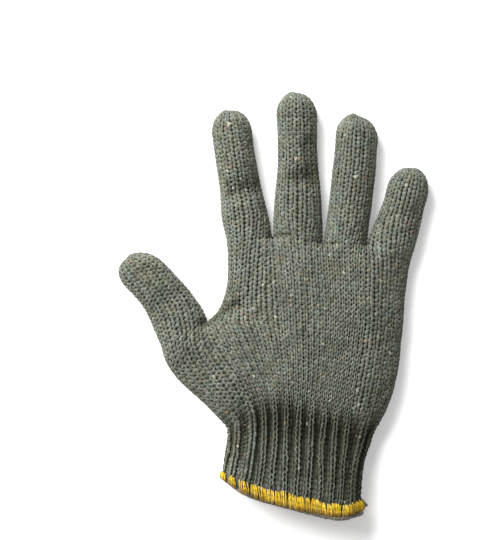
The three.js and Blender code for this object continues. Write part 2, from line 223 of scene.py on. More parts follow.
def stall_section(i, from_tip):
    length, width, lean, bow, slant, height = (
        STALL_SIZES[size][i] for size in ("length", "width", "lean", "bow", "slant", "height")
    )
    left, right = (LINES[i + k][JOIN if i == 0 else ROOT] for k in (0, 1))
    distance = length - from_tip
    share = distance / length
    lean = math.radians(lean)
    up = np.array([math.sin(lean), math.cos(lean)])
    sideways = np.array([up[1], -up[0]])
    middle = (left + right) / 2 + up * distance + sideways * 4 * bow * share * (1 - share)
    half = mix((right - left) / 2, sideways * width / 2, smooth(share, *WIDTH_EASE))
    half = half * mix(TIP_FLAT, 1, quarter_round(from_tip / TIP_CORNER))
    half = half - up * slant * smooth(share, SLANT_START, 1)
    root_height = PALM_HEIGHT if i == 0 else KNUCKLE_HEIGHT
    top = mix(root_height, height, smooth(share, 0, HEIGHT_EASE))
    return straight(middle - half, middle + half), top, 0, 0, 0, quarter_round(from_tip / TIP_DEPTH)


# The hand below the stalls, and the cuff below the hand, as the same kind of sections.
FINGER_WEB, THUMB_WEB = 20, 26
UPPER_ROWS, LOWER_ROWS, CUFF_ROWS = 18, 20, 18
PALM_EASE, BEND_EASE = 0.2, 0.6  # where the hand's height starts to change, and where its rows bend in full
CUFF_EASE, LIFT_EASE = 0.2, 0.3  # where the cuff's height and base start to change
HEM_BAND = 6.4
HEM_LIFT = 1.3  # of the cloth at the hem, by the thickness of the yarn below it
OUTLINE_BENDS = {
    (ROOT, 1): (on_hand(-0.484, 0.883), on_hand(-0.473, 0.687)),
    (ROOT, 5): (on_hand(0.473, 0.86), on_hand(0.451, 0.676)),
    (JOIN, 0): (on_hand(-0.819, 0.263), on_hand(-0.62, 0.156)),
    (JOIN, 5): (on_hand(0.43, 0.341), on_hand(0.404, 0.145)),
    (WRIST, 0): (on_wrist(-0.5, -0.213), at_hem(-0.493, -0.45)),
    (WRIST, 5): (on_wrist(0.425, -0.325), at_hem(0.47, -0.613)),
}
LINE_STEPS = 200


def even_line(part, i):
    start, end = LINES[i][part], LINES[i][part + 1]
    reach = np.linalg.norm(end - start)
    first, second = mix(start, end, 1 / 3), mix(start, end, 2 / 3)
    if part > ROOT and LINES[i][part - 1] is not None:
        before = LINES[i][part - 1]
        first = start + (end - before) * reach / (reach + np.linalg.norm(start - before)) / 3
    if part < WRIST:
        after = LINES[i][part + 2]
        second = end - (after - start) * reach / (reach + np.linalg.norm(after - end)) / 3
    curve = (start, *OUTLINE_BENDS.get((part, i), (first, second)), end)
    points = on_curve(curve, np.linspace(0, 1, LINE_STEPS + 1))
    lengths = np.concatenate([[0], np.cumsum(np.linalg.norm(np.diff(points, axis=0), axis=1))])
    return points, lengths


even_lines = {
    (part, i): even_line(part, i) for part in (ROOT, JOIN, WRIST) for i in range(6) if part or i
}


def line_place(part, i, share):
    points, lengths = even_lines[part, i]
    at = share * lengths[-1]
    return np.array([np.interp(at, lengths, points[:, k]) for k in (0, 1)])


def strip_row(part, i, share, bend):
    before, left, right, after = (
        line_place(part, k, share) if (part, k) in even_lines else None for k in range(i - 1, i + 3)
    )
    across = right - left
    left_slope = across if before is None else (right - before) / 2
    right_slope = across if after is None else (after - left) / 2
    first = left + mix(across, left_slope, bend) / 3
    second = right - mix(across, right_slope, bend) / 3
    return left, first, second, right


def upper_section(i, share):
    fills = [quarter_round(share * even_lines[ROOT, k][1][-1] / FINGER_WEB) for k in (i, i + 1)]
    left_fill = 0 if i == 1 else fills[0]
    right_fill = 0 if i == 4 else fills[1]
    top = mix(KNUCKLE_HEIGHT, PALM_HEIGHT, smooth(share, 0, 1))
    return strip_row(ROOT, i, share, 0), top, 0, left_fill, right_fill, 1


def lower_section(i, share):
    web = quarter_round(share * even_lines[JOIN, 1][1][-1] / THUMB_WEB)
    left_fill, right_fill = ((0, web), (web, 1), (1, 1), (1, 1), (1, 0))[i]
    top = mix(PALM_HEIGHT, WRIST_HEIGHT, smooth(share, PALM_EASE, 1))
    return strip_row(JOIN, i, share, smooth(share, 0, BEND_EASE)), top, 0, left_fill, right_fill, 1


def cuff_section(i, share):
    top = mix(WRIST_HEIGHT, HEM_HEIGHT, smooth(share, CUFF_EASE, 1))
    base = HEM_LIFT * smooth(share, LIFT_EASE, 1 - HEM_BAND / CUFF_LENGTH)
    return strip_row(WRIST, i, share, 1), top, base, 0 if i == 0 else 1, 0 if i == 4 else 1, 1


# Rows count from 0 at the finger roots: below zero up the stall, above it down the hand and the cuff.
THUMB_ROW = UPPER_ROWS
WRIST_ROW = THUMB_ROW + LOWER_ROWS
END_ROW = WRIST_ROW + CUFF_ROWS
EVEN_ABOVE, EVEN_BELOW = 7, 9  # rows over which the wales even out above and below a finger root


def first_row(i):
    return (THUMB_ROW if i == 0 else 0) - STALL_SIZES["rows"][i]


def shape_at(i, row):
    rows = row - first_row(i)
    if rows < TIP_ROWS:
        return stall_section(i, TIP_DEPTH * (1 - math.cos(max(0, rows) / TIP_ROWS * math.pi / 2)))
    if rows < STALL_SIZES["rows"][i]:
        share = (rows - TIP_ROWS) / (STALL_SIZES["rows"][i] - TIP_ROWS)
        return stall_section(i, mix(TIP_DEPTH, STALL_SIZES["length"][i], share))
    if row < THUMB_ROW:
        return upper_section(i, row / UPPER_ROWS)
    if row < WRIST_ROW:
        return lower_section(i, (row - THUMB_ROW) / LOWER_ROWS)
    return cuff_section(i, (row - WRIST_ROW) / CUFF_ROWS)


def section_at(i, row):
    roots = (
        math.inf if i == 0 else THUMB_ROW if i == 1 else 0,
        math.inf if i == 4 else THUMB_ROW if i == 0 else 0,
    )
    evens = (
        smooth(row, root - EVEN_ABOVE, root + EVEN_BELOW) if root < math.inf else 0
        for root in roots
    )
    return (*shape_at(i, row), *evens)


# The ribs of the cuff: one wale stands up and spreads, the next two sink and crowd together.
RIB_WALES, RIB_DEPTH = 3, 2.6
RIB_FLANK = (0.25, 1.05)  # where a rib's flank starts and ends, in wales from its middle
RIB_START, RIB_FULL = WRIST_ROW - 4, WRIST_ROW + 3
RIB_EASE_ROW, RIB_END_ROW = RIB_FULL + 4, END_ROW - 2
RIB_SPREAD = 0.85  # of the raised wale, beyond its own width
RIB_EASE = 0.55  # of their depth that the ribs lose towards the hem
RIB_END = 0.85  # of the rest, that they lose in the last rows, which the hem holds flat
WALES_BEFORE = (0, 8, 16, 24, 32)
WALES_ROUND = 78  # both sides together


def rib_depth(i, row, across):
    wale = WALES_BEFORE[i] + across * STALL_SIZES["wales"][i]
    away = np.abs(wale - RIB_WALES * np.round(wale / RIB_WALES))
    deep = RIB_DEPTH * smooth(row, RIB_START, RIB_FULL)
    deep = deep * (1 - RIB_EASE * smooth(row, RIB_EASE_ROW, END_ROW))
    deep = deep * (1 - RIB_END * smooth(row, RIB_END_ROW, END_ROW))
    return deep * (1 - smooth(away, *RIB_FLANK))


def spread_wale(i, row, wale):
    whole = WALES_BEFORE[i] + wale
    middle = RIB_WALES * (np.floor(whole / RIB_WALES) + 0.5)
    away = whole - middle
    inner, outer = 0.5 + RIB_SPREAD / 2, RIB_WALES / 2
    warped = np.where(
        np.abs(away) < 0.5, away * inner * 2,
        np.sign(away) * mix(inner, outer, (np.abs(away) - 0.5) / (outer - 0.5)),
    )
    return wale + (warped - away) * smooth(row, RIB_START, RIB_FULL)


# On the far side the outer wales move towards a side fold, where that side falls away steeply.
FOLD_WALES, FOLD_CROWDING = 1.5, 1.6
ACROSS_STEP, ROW_STEP = 0.004, 0.08


def crowd_to_fold(section, across, wales):
    from_left = across * wales
    from_right = wales - from_left
    moves = []
    for away in (from_left, from_right):
        crowded = FOLD_WALES * (np.minimum(away, FOLD_WALES) / FOLD_WALES) ** FOLD_CROWDING
        moves.append(np.where(away < FOLD_WALES, away - crowded, 0))
    left_open, right_open = 1 - section[3], 1 - section[4]
    return (from_left - left_open * moves[0] + right_open * moves[1]) / wales


def unit(ways):
    return ways / np.maximum(np.linalg.norm(ways, axis=-1, keepdims=True), LEAST_LENGTH)


# Places on the cloth's outside, the way out of it there, and the width of one wale.
def cloth_places(i, row, across, side, out=0):
    lowest = first_row(i) + TIP_GAP
    row = min(max(row, lowest), END_ROW)
    here = section_at(i, row)
    row_before = section_at(i, max(row - ROW_STEP, lowest))
    row_after = section_at(i, min(row + ROW_STEP, END_ROW))
    crowded = crowd_to_fold(here, across, STALL_SIZES["wales"][i])
    across = np.where(side < 0, crowded, across)
    left = np.maximum(across - ACROSS_STEP, 0)
    right = np.minimum(across + ACROSS_STEP, 1)
    sideways = section_points(here, right, side) - section_points(here, left, side)
    down = section_points(row_after, across, side) - section_points(row_before, across, side)
    ways = unit(np.cross(down, sideways) * side[:, None])
    out = out - rib_depth(i, row, across)
    places = section_points(here, across, side) + ways * np.reshape(out, (-1, 1))
    wale_width = np.linalg.norm(sideways, axis=1) / (right - left) / STALL_SIZES["wales"][i]
    return places + HAND_SHIFT, ways, wale_width


# Many short lengths of yarn in one mesh, each a closed tube. Each has a centre line, with the way out of
# the cloth, half a width, half a thickness and a colour at each of its points. The UV map runs round the
# yarn and along it.
YARN_TIP = 0.8  # reach of a tube's pointed end past its last ring, by half a width there
POINTS_EACH_PLY = 4


def yarn_mesh(name, centres, ways, wide, thick, colours, sides=6):
    count, points = centres.shape[:2]
    along = unit(np.gradient(centres, axis=1))
    sideways = unit(np.cross(along, ways))
    upright = np.cross(sideways, along)
    turns = np.arange(sides) * 2 * math.pi / sides
    rings = (
        centres[:, :, None]
        + sideways[:, :, None] * (np.cos(turns)[:, None] * wide[:, :, None, None])
        + upright[:, :, None] * (np.sin(turns)[:, None] * thick[:, :, None, None])
    )
    ends = np.stack([
        centres[:, 0] - along[:, 0] * wide[:, :1] * YARN_TIP,
        centres[:, -1] + along[:, -1] * wide[:, -1:] * YARN_TIP,
    ], axis=1)
    verts = np.concatenate([rings.reshape(count, -1, 3), ends], axis=1)
    verts[..., 2] = np.maximum(verts[..., 2], 0)  # what would sink into the table lies pressed on it
    faces, maps = [], []
    for k in range(points - 1):
        for m in range(sides):
            n = (m + 1) % sides
            faces.append((k * sides + m, (k + 1) * sides + m, (k + 1) * sides + n, k * sides + n))
            maps.append(((m, k), (m, k + 1), (m + 1, k + 1), (m + 1, k)))
    tip, tail, last = points * sides, points * sides + 1, (points - 1) * sides
    for m in range(sides):
        n = (m + 1) % sides
        faces.append((m, n, tip))
        maps.append(((m, 0), (m + 1, 0), (m + 0.5, -0.5)))
        faces.append((last + n, last + m, tail))
        maps.append(((m + 1, points - 1), (m, points - 1), (m + 0.5, points - 0.5)))
    each = verts.shape[1]
    mesh = bpy.data.meshes.new(name)
    all_faces = [tuple(corner + each * k for corner in face) for k in range(count) for face in faces]
    mesh.from_pydata((verts.reshape(-1, 3) * MM).tolist(), [], all_faces)
    flat_map = np.array([corner for face in maps for corner in face], dtype=float)
    flat_map[:, 0] /= sides
    flat_map[:, 1] /= POINTS_EACH_PLY
    mesh.uv_layers.new(name="UVMap")
    mesh.uv_layers[0].data.foreach_set("uv", np.tile(flat_map, (count, 1)).ravel())
    point_colours = np.concatenate([
        np.repeat(colours, sides, axis=1), colours[:, :1], colours[:, -1:],
    ], axis=1).reshape(-1, 3)
    tint = mesh.attributes.new("yarn_colour", "FLOAT_COLOR", "POINT")
    tint.data.foreach_set("color", np.column_stack([point_colours, np.ones(len(point_colours))]).ravel())
    mesh.polygons.foreach_set("use_smooth", np.ones(len(mesh.polygons), dtype=bool))
    made = bpy.data.objects.new(name, mesh)
    bpy.context.scene.collection.objects.link(made)
    return made


# The wall of the cloth below its stitches, with its inside, and one row of cells to each of their rows.
CLOTH_SINK, CLOTH_WALL = 1.0, 0.7
SAME_PLACE = 0.1  # corners of the mesh that lie closer are one
SAME_ROW = 1e-4
# The wall is a darker, less blue version of the yarn's colour, as painted shade in the holes between the
# stitches.
WALL_PAINTED_SHADE_COLOUR = (0.086, 0.091, 0.058, 1)


def cloth_wall(name, spans, cells_each_wale=1, colour=WALL_PAINTED_SHADE_COLOUR):
    bm = bmesh.new()
    depth = bm.verts.layers.float.new("depth")
    for i, start, end in spans:
        wales = STALL_SIZES["wales"][i]
        for side in (1, -1):
            before = len(bm.verts)
            bmesh.ops.create_grid(bm, x_segments=wales * cells_each_wale, y_segments=end - start, size=1)
            bm.verts.ensure_lookup_table()
            fresh = bm.verts[before:]
            shares = np.array([((v.co.x + 1) / 2, (v.co.y + 1) / 2) for v in fresh])
            for row_share in np.unique(np.round(shares[:, 1], 5)):
                picked = np.flatnonzero(np.abs(shares[:, 1] - row_share) < SAME_ROW)
                row = mix(start, end, row_share)
                across = shares[picked, 0]
                places = section_points(section_at(i, row), across, np.full(len(picked), side))
                for k, place, sunk in zip(picked, places + HAND_SHIFT, rib_depth(i, row, across)):
                    fresh[k].co = place * MM
                    fresh[k][depth] = sunk
    bmesh.ops.remove_doubles(bm, verts=bm.verts, dist=SAME_PLACE * MM)
    bmesh.ops.dissolve_degenerate(bm, dist=SAME_PLACE * MM, edges=bm.edges)
    bmesh.ops.recalc_face_normals(bm, faces=bm.faces)
    bm.normal_update()
    moves = [v.co - v.normal * (CLOTH_SINK + v[depth]) * MM for v in bm.verts]
    for v, place in zip(bm.verts, moves):
        v.co = place
    bmesh.ops.solidify(bm, geom=bm.faces, thickness=CLOTH_WALL * MM)
    mesh = bpy.data.meshes.new(name)
    bm.to_mesh(mesh)
    bm.free()
    mesh.uv_layers.new(name="UVMap")
    tint = mesh.attributes.new("yarn_colour", "FLOAT_COLOR", "POINT")
    tint.data.foreach_set("color", np.tile(colour, len(mesh.vertices)))
    mesh.polygons.foreach_set("use_smooth", np.ones(len(mesh.polygons), dtype=bool))
    made = bpy.data.objects.new(name, mesh)
    bpy.context.scene.collection.objects.link(made)
    return made


# Each stitch is two legs that part below the row above, meet their neighbours' legs, and come together
# again under the next row. The holes between them lie in a honeycomb. The far side has simpler legs.
LEG_SIDES, LEG_POINTS, FAR_LEG_POINTS = 5, 7, 4
LEG_START, LEG_REACH = -0.1, 1.25  # in rows
HEM_GAP = 0.05  # of a row, kept between the last legs and the cloth's raw edge
LEG_MIDDLE, LEG_SWING = 0.25, 0.115  # in wales
SWING_ROW, SWING_LEAN = 0.1, 0.6  # where in its row a leg swings out most, and how far it lingers
LEG_WIDE, LEG_THICK = 0.243, 0.62  # half a leg's width, as a share of its wale, and half its thickness
LEG_ENDS, LEG_BELLY = 0.66, 0.34  # of the full width: at the ends, and added in the middle
WALE_LEAST, WALE_MOST = 1.6, 3.9  # width that the legs can follow
LEG_FILL = 0.14  # how much fuller the yarn lies where the wales are wide
FILL_EASE = (2.6, 3.4)
HEM_SINK = 0.5  # of the last row, which the hem's yarn presses down
LEG_TOP, LEG_TUCK = -0.25, 0.55  # height of a leg's middle, and how far its ends dip below it
TUCK_START, TUCK_SPAN, TUCK_POWER = 0.1, 0.87, 1.3
PRESSED_TOP = -0.65  # on the far side, which the table presses level
EDGE_CALM = 0.85  # how much smoother the stitches lie along a side fold and over a tip
CALM_WALES, CALM_ROWS = (0.4, 1.4), 3
# Painted shade darkens the sunk wales between the ribs, less so towards the hem.
RIB_PAINTED_SHADE, RIB_PAINTED_SHADE_EASE, EASE_ROW = 0.62, 0.6, WRIST_ROW + 4
RIB_CALM = 0.4  # how much straighter the legs are in the cuff
CUFF_TONE = 0.9  # of the hand's
CUFF_TONE_ROWS = (WRIST_ROW - 2, WRIST_ROW + 2)
CUFF_PAINTED_LIGHT = 0.1  # painted light: lighter at the hem on the thumb's side, which faces the lamp
CUFF_PAINTED_SHADE_ROWS, CUFF_PAINTED_SHADE_POWER = (WRIST_ROW - 6, WRIST_ROW + 6), 2.5
CUFF_PAINTED_SHADE = 0.65  # painted shade: darker at the little finger's side, which turns away from the light
CREASE_PAINTED_SHADE = 0.07  # painted shade in the creases, for each millimetre of a crease's depth
DARK_BLUE_LOSS = 0.25  # power of the tone, by which a dark stitch is less blue
YARN_COLOUR = np.array([0.0975, 0.1032, 0.0818])
FLECKS = np.array([
    (0.28, 0.265, 0.205), (0.24, 0.24, 0.19), (0.22, 0.22, 0.18), (0.15, 0.105, 0.07), (0.14, 0.11, 0.085),
    (0.15, 0.12, 0.07), (0.13, 0.09, 0.075), (0.08, 0.125, 0.09), (0.08, 0.1, 0.11), (0.04, 0.04, 0.035),
])
FLECK_SHARE, FLECK_REACH = 0.045, 0.22  # of the legs, and of a leg's length to either side

# How much single stitches differ, in wales, millimetres, rows or as a share of the measure.
SHIFT_SPREAD, LIFT_SPREAD, LATE_SPREAD = 0.03, 0.13, 0.05
SWING_SPREAD, PLUMP_SPREAD, TINT_SPREAD = 0.35, 0.08, 0.02
TONE_SPREAD, HEM_TONE_SPREAD = 0.14, 0.22
PLUMP_LIMITS, TONE_LIMITS = (0.8, 1.2), (0.5, 1.6)
draw = np.random.default_rng(7)

# Slow, random waves over the whole hand, from about -1 to 1, for the uneven pull and lie of the cloth.
# There is one set of waves for the tone, one for the plumpness, one for the lift and one for the shift.
WAVE_TONE, WAVE_PLUMP, WAVE_LIFT = 0.07, 0.06, 0.3
WAVE_SHIFT, CUFF_WAVE_SHIFT, WAVE_SHIFT_ROWS = 0.05, 0.12, 6
WAVES, WAVE_LENGTHS = 7, (13, 55)
wave_turns = draw.uniform(0, 2 * math.pi, (4, WAVES))
wave_lengths = draw.uniform(*WAVE_LENGTHS, (4, WAVES))
wave_starts = draw.uniform(0, 2 * math.pi, (4, WAVES))


def unevenness(places, kind):
    total = 0
    for turn, length, start in zip(wave_turns[kind], wave_lengths[kind], wave_starts[kind]):
        along = places[:, 0] * math.cos(turn) + places[:, 1] * math.sin(turn)
        total = total + np.sin(along * 2 * math.pi / length + start)
    return total / math.sqrt(WAVES)


def stitch_rows(i, start, end, side):
    wales = STALL_SIZES["wales"][i]
    wale, leg = (part.ravel() for part in np.meshgrid(np.arange(wales), (-1, 1), indexing="ij"))
    count = len(wale)
    sides = np.full(count, side)
    points = LEG_POINTS if side > 0 else FAR_LEG_POINTS
    legs = []
    for row in range(start, end):
        shift = draw.normal(0, SHIFT_SPREAD, count)
        lift = draw.normal(0, LIFT_SPREAD, count)
        swings = LEG_SWING * draw.normal(1, SWING_SPREAD, count)
        swings = swings * (1 - RIB_CALM * smooth(row, RIB_START, RIB_FULL))
        plump = np.clip(draw.normal(1, PLUMP_SPREAD, count), *PLUMP_LIMITS)
        late = draw.normal(0, LATE_SPREAD, count)
        tone_spread = mix(TONE_SPREAD, HEM_TONE_SPREAD, smooth(row, WRIST_ROW, END_ROW))
        tone = np.clip(draw.normal(1, tone_spread, count), *TONE_LIMITS)
        middle = cloth_places(i, row + 0.5, (wale + 0.5) / wales, sides)[0]
        leg_wale = wale + 0.5 + leg * LEG_MIDDLE
        leg_across = np.clip(spread_wale(i, row, leg_wale) / wales, 0, 1)
        sunk = rib_depth(i, row + 0.5, leg_across) / RIB_DEPTH

        # The tone, with painted light and shade: painted shade darkens the cuff towards the little finger's
        # side, the creases and the rib valleys, and painted light brightens the hem on the thumb's side.
        from_thumb = (WALES_BEFORE[i] + wale) / (WALES_ROUND / 2)
        tone_and_painted_shading = CUFF_TONE + (1 - CUFF_TONE) * (1 - smooth(row, *CUFF_TONE_ROWS))
        tone_and_painted_shading = tone_and_painted_shading + CUFF_PAINTED_LIGHT * (1 - from_thumb) * smooth(row, CUFF_TONE_ROWS[1], END_ROW)
        painted_darkness = CUFF_PAINTED_SHADE * from_thumb ** CUFF_PAINTED_SHADE_POWER * smooth(row, *CUFF_PAINTED_SHADE_ROWS)
        tone_and_painted_shading = tone_and_painted_shading * (1 - painted_darkness)
        if side > 0:
            crease = np.maximum(0, dent_depth((middle - HAND_SHIFT)[:, :2]))
            tone_and_painted_shading = tone_and_painted_shading * (1 - CREASE_PAINTED_SHADE * crease)
        valley_painted_shade = RIB_PAINTED_SHADE * (1 - RIB_PAINTED_SHADE_EASE * smooth(row, EASE_ROW, END_ROW))
        tone = tone * (1 + WAVE_TONE * unevenness(middle, 0)) * tone_and_painted_shading * (1 - valley_painted_shade * sunk)

        # The lie: calmer at a side fold and over a tip, and pressed down under the hem's yarn.
        section = section_at(i, row + 0.5)
        beside_left = (1 - section[3]) * (1 - smooth(leg_wale, *CALM_WALES))
        beside_right = (1 - section[4]) * (1 - smooth(wales - leg_wale, *CALM_WALES))
        over_tip = row < first_row(i) + CALM_ROWS
        calm = 1 - EDGE_CALM * np.maximum(np.maximum(beside_left, beside_right), over_tip)
        lift = lift * calm - (HEM_SINK if row == END_ROW - 1 else 0)
        plump = plump * (1 + WAVE_PLUMP * unevenness(middle, 1))
        if side > 0:
            lift = LEG_TOP + lift + WAVE_LIFT * unevenness(middle, 2)
        else:
            lift = PRESSED_TOP - np.abs(lift)
        in_cuff = smooth(row, WRIST_ROW, WRIST_ROW + WAVE_SHIFT_ROWS)
        shift = shift + mix(WAVE_SHIFT, CUFF_WAVE_SHIFT, in_cuff) * unevenness(middle, 3)

        colour = YARN_COLOUR * tone[:, None] * draw.normal(1, TINT_SPREAD, (count, 3))
        colour[:, 2] *= np.minimum(tone, 1) ** DARK_BLUE_LOSS
        flecked = draw.random(count) < FLECK_SHARE
        fleck = FLECKS[draw.integers(0, len(FLECKS), count)]
        fleck_at = draw.random(count)
        centres, ways, wide, thick, colours = [], [], [], [], []
        reach = min(LEG_REACH, END_ROW - row - LEG_START - HEM_GAP)
        for share in np.linspace(0, 1, points):
            down = LEG_START + share * reach
            lean = SWING_LEAN * math.sin(2 * math.pi * down)
            swing = math.cos(2 * math.pi * (down - SWING_ROW) - lean)
            spread = LEG_MIDDLE - swings * swing
            at_wale = spread_wale(i, row + down, wale + 0.5 + leg * spread + shift)
            dip = (1 - math.sin(math.pi * (TUCK_START + share * TUCK_SPAN))) ** TUCK_POWER
            places, way, wale_width = cloth_places(
                i, row + down, np.clip(at_wale / wales, 0, 1), sides, lift - LEG_TUCK * calm * dip,
            )
            body = LEG_ENDS + LEG_BELLY * math.sin(math.pi * share)
            centres.append(places)
            ways.append(way)
            full = np.clip(wale_width, WALE_LEAST, WALE_MOST)
            full = full * (1 + LEG_FILL * smooth(wale_width, *FILL_EASE))
            wide.append(full * LEG_WIDE * body * plump)
            thick.append(LEG_THICK * body * plump)
            here = flecked & (np.abs(share - fleck_at) < FLECK_REACH)
            colours.append(np.where(here[:, None], fleck, colour))
        leg_parts = [np.stack(part, axis=1) for part in (centres, ways, wide, thick, colours)]
        leg_parts[0] += late[:, None, None] * np.gradient(leg_parts[0], axis=1) * (points - 1)
        legs.append(leg_parts)
    return legs


def knitted(name, legs):
    return yarn_mesh(name, *(np.concatenate(parts) for parts in zip(*legs)), sides=LEG_SIDES)


def joined(first, *others):
    with bpy.context.temp_override(active_object=first, selected_editable_objects=[first, *others]):
        bpy.ops.object.join()
    return first


def node_of(tree, kind, **values):
    made = tree.nodes.new(kind)
    for key, value in values.items():
        setattr(made, key, value)
    return made


# Heather cotton is matt and faintly fuzzy. Its colour comes with the mesh, times cloudy tints that are
# wider along the rows, and a mottle of fibres. The twist of its plies is a bump.
def heather_yarn(name):
    material = bpy.data.materials.new(name)
    material.use_nodes = True
    tree = material.node_tree
    shader = tree.nodes["Principled BSDF"]
    shader.inputs["Roughness"].default_value = 0.92
    shader.inputs["Specular IOR Level"].default_value = 0.2
    shader.inputs["Sheen Weight"].default_value = 0.12
    shader.inputs["Sheen Roughness"].default_value = 0.5
    place = node_of(tree, "ShaderNodeTexCoord")
    stretch = node_of(tree, "ShaderNodeMapping")
    stretch.inputs["Scale"].default_value = (1, 1.8, 1)
    clouds = node_of(tree, "ShaderNodeTexNoise")
    clouds.inputs["Scale"].default_value = 95
    clouds.inputs["Detail"].default_value = 2
    tints = node_of(tree, "ShaderNodeValToRGB")
    ramp = tints.color_ramp
    ramp.elements[0].position = 0.3
    ramp.elements[0].color = (0.9, 1.01, 1.02, 1)
    ramp.elements[1].position = 0.72
    ramp.elements[1].color = (1.06, 0.98, 0.98, 1)
    for position, colour in ((0.42, (0.98, 1.0, 1.0, 1)), (0.58, (1.02, 1.01, 0.94, 1))):
        ramp.elements.new(position).color = colour
    fibres = node_of(tree, "ShaderNodeTexNoise")
    fibres.inputs["Scale"].default_value = 850
    fibres.inputs["Detail"].default_value = 2
    mottle = node_of(tree, "ShaderNodeMapRange")
    mottle.inputs["From Min"].default_value = 0.25
    mottle.inputs["From Max"].default_value = 0.75
    mottle.inputs["To Min"].default_value = 0.52
    mottle.inputs["To Max"].default_value = 1.5
    yarn = node_of(tree, "ShaderNodeAttribute", attribute_name="yarn_colour")
    tinted = node_of(tree, "ShaderNodeMix", data_type="RGBA", blend_type="MULTIPLY")
    tinted.inputs[0].default_value = 1
    mottled = node_of(tree, "ShaderNodeVectorMath", operation="SCALE")
    plies = node_of(tree, "ShaderNodeTexWave", bands_direction="DIAGONAL")
    plies.inputs["Scale"].default_value = 1.4
    plies.inputs["Distortion"].default_value = 1.5
    twist = node_of(tree, "ShaderNodeBump")
    twist.inputs["Strength"].default_value = 0.35
    twist.inputs["Distance"].default_value = 0.00025
    fuzz = node_of(tree, "ShaderNodeBump")
    fuzz.inputs["Strength"].default_value = 0.5
    fuzz.inputs["Distance"].default_value = 0.0003
    link = tree.links.new
    link(place.outputs["Object"], stretch.inputs["Vector"])
    link(stretch.outputs["Vector"], clouds.inputs["Vector"])
    link(clouds.outputs["Fac"], tints.inputs["Fac"])
    link(place.outputs["Object"], fibres.inputs["Vector"])
    link(fibres.outputs["Fac"], mottle.inputs["Value"])
    link(yarn.outputs["Color"], tinted.inputs[6])
    link(tints.outputs["Color"], tinted.inputs[7])
    link(tinted.outputs[2], mottled.inputs[0])
    link(mottle.outputs["Result"], mottled.inputs["Scale"])
    link(mottled.outputs["Vector"], shader.inputs["Base Color"])
    link(place.outputs["UV"], plies.inputs["Vector"])
    link(plies.outputs["Fac"], twist.inputs["Height"])
    link(fibres.outputs["Fac"], fuzz.inputs["Height"])
    link(twist.outputs["Normal"], fuzz.inputs["Normal"])
    link(fuzz.outputs["Normal"], shader.inputs["Normal"])
    return material


heather = heather_yarn("heather cotton yarn")
for i, stall in enumerate(("thumb", "index", "middle", "ring", "little")):
    start = first_row(i)
    end = start + STALL_SIZES["rows"][i]
    wall = cloth_wall(f"{stall}_stall_knit", [(i, start, end)])
    sides = [knitted("stitches", stitch_rows(i, start, end, side)) for side in (1, -1)]
    piece = joined(wall, *sides)
    piece.data.materials.append(heather)
    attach(piece, "root")
    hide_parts(f"{stall}_stall")

# The hand, knitted on from the stalls in the same yarn, as one flattened tube down to the wrist. Its
# stitches on the back of the hand and on its underside are two pieces, with the wall in the first.
hand_spans = [(i, 0, WRIST_ROW) for i in (1, 2, 3, 4)] + [(0, THUMB_ROW, WRIST_ROW)]
for name, side in (("hand_knit_upper", 1), ("hand_knit_under", -1)):
    legs = [leg for i, start, end in hand_spans for leg in stitch_rows(i, start, end, side)]
    piece = knitted(name, legs)
    if side == 1:
        piece = joined(cloth_wall("hand_wall", hand_spans), piece)
        piece.name = name
        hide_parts("palm_body")
    piece.data.materials.append(heather)
    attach(piece, "root")

# The cuff, knitted with rubber thread that draws it into ribs: one raised wale, then two that sink. It
# runs down into the hem.
# The wall under the cuff's stitches is painted near black, as painted shade in the rib valleys.
VALLEY_PAINTED_SHADE_COLOUR = (0.03, 0.032, 0.022, 1)
cuff_spans = [(i, WRIST_ROW, END_ROW) for i in range(5)]
cuff_sides = [
    knitted("stitches", [leg for i in range(5) for leg in stitch_rows(i, WRIST_ROW, END_ROW, side)])
    for side in (1, -1)
]
cuff = joined(cloth_wall("cuff_knit", cuff_spans, cells_each_wale=3, colour=VALLEY_PAINTED_SHADE_COLOUR), *cuff_sides)
cuff.data.materials.append(heather)
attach(cuff, "root")
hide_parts("ribbed_cuff")

# The hem: the cloth's raw edge overlocked with a thick yellow yarn. It wraps the edge in clumps of loose
# strands, from the cloth's outside round its end to its inside, and a grey cord runs along the fold.
# Places round the mouth are in wales, and heights above the raw edge in rows.
CLOTH_THICK = 1.8
WRAP_TOP_ROW, WRAP_SINK = END_ROW - 1.8, 0.5
WRAP_OUT, WRAP_TURN = 0.95, 1.4  # how far the yarn stands off the cloth's face, and past its raw edge
SINK_EASE = (-0.1, 0.3)  # over which a strand comes out of the cloth, as a share of its way down
RIB_FOLLOW = 0.95  # how far the hem passes straight over the sunk wales
FIRST_WRAP, LAST_WRAP = -1.3, WALES_ROUND - 1.8
WIDE_PITCH, CLOSE_PITCH, FAR_PITCH = 2.4, 1.45, 1.7  # from one clump to the next
PITCH_EASE, PITCH_LIMITS = (2, 20), (0.92, 1.08)
STRANDS, STRAND_WIDE, STRAND_THICK = 6, 0.4, 0.42
BODY_ENDS, BODY_BELLY = 0.75, 0.25  # of a strand's width
CLUMP_LOOSE, CLUMP_FULL, CLUMP_EASE = 0.68, 0.8, (6, 14)  # a clump's width as a share of the pitch
GATHER, GATHER_BELLY = 0.75, 0.25  # how the strands of a clump draw together and part again
GATHER_START, GATHER_SPAN = 0.06, 0.6
SLANT, CLUMP_SLANT_SPREAD, STRAND_SLANT_SPREAD = 0.3, 0.13, 0.16
CLUMP_TOP_SPREAD, STRAND_TOP_SPREAD, PROUD_SPREAD = 0.16, 0.14, 0.12
TALL_ROWS, TALL_WALE, TALL_REACH = 0.45, 19, 8  # the clumps in the middle stand taller
TOP_STEP = 2  # millimetres for each row that a strand's top is off the mean
INSIDE_LAST = 0.15  # where the strands end inside, as a share of the way down
YELLOW = np.array([0.41, 0.272, 0.006])
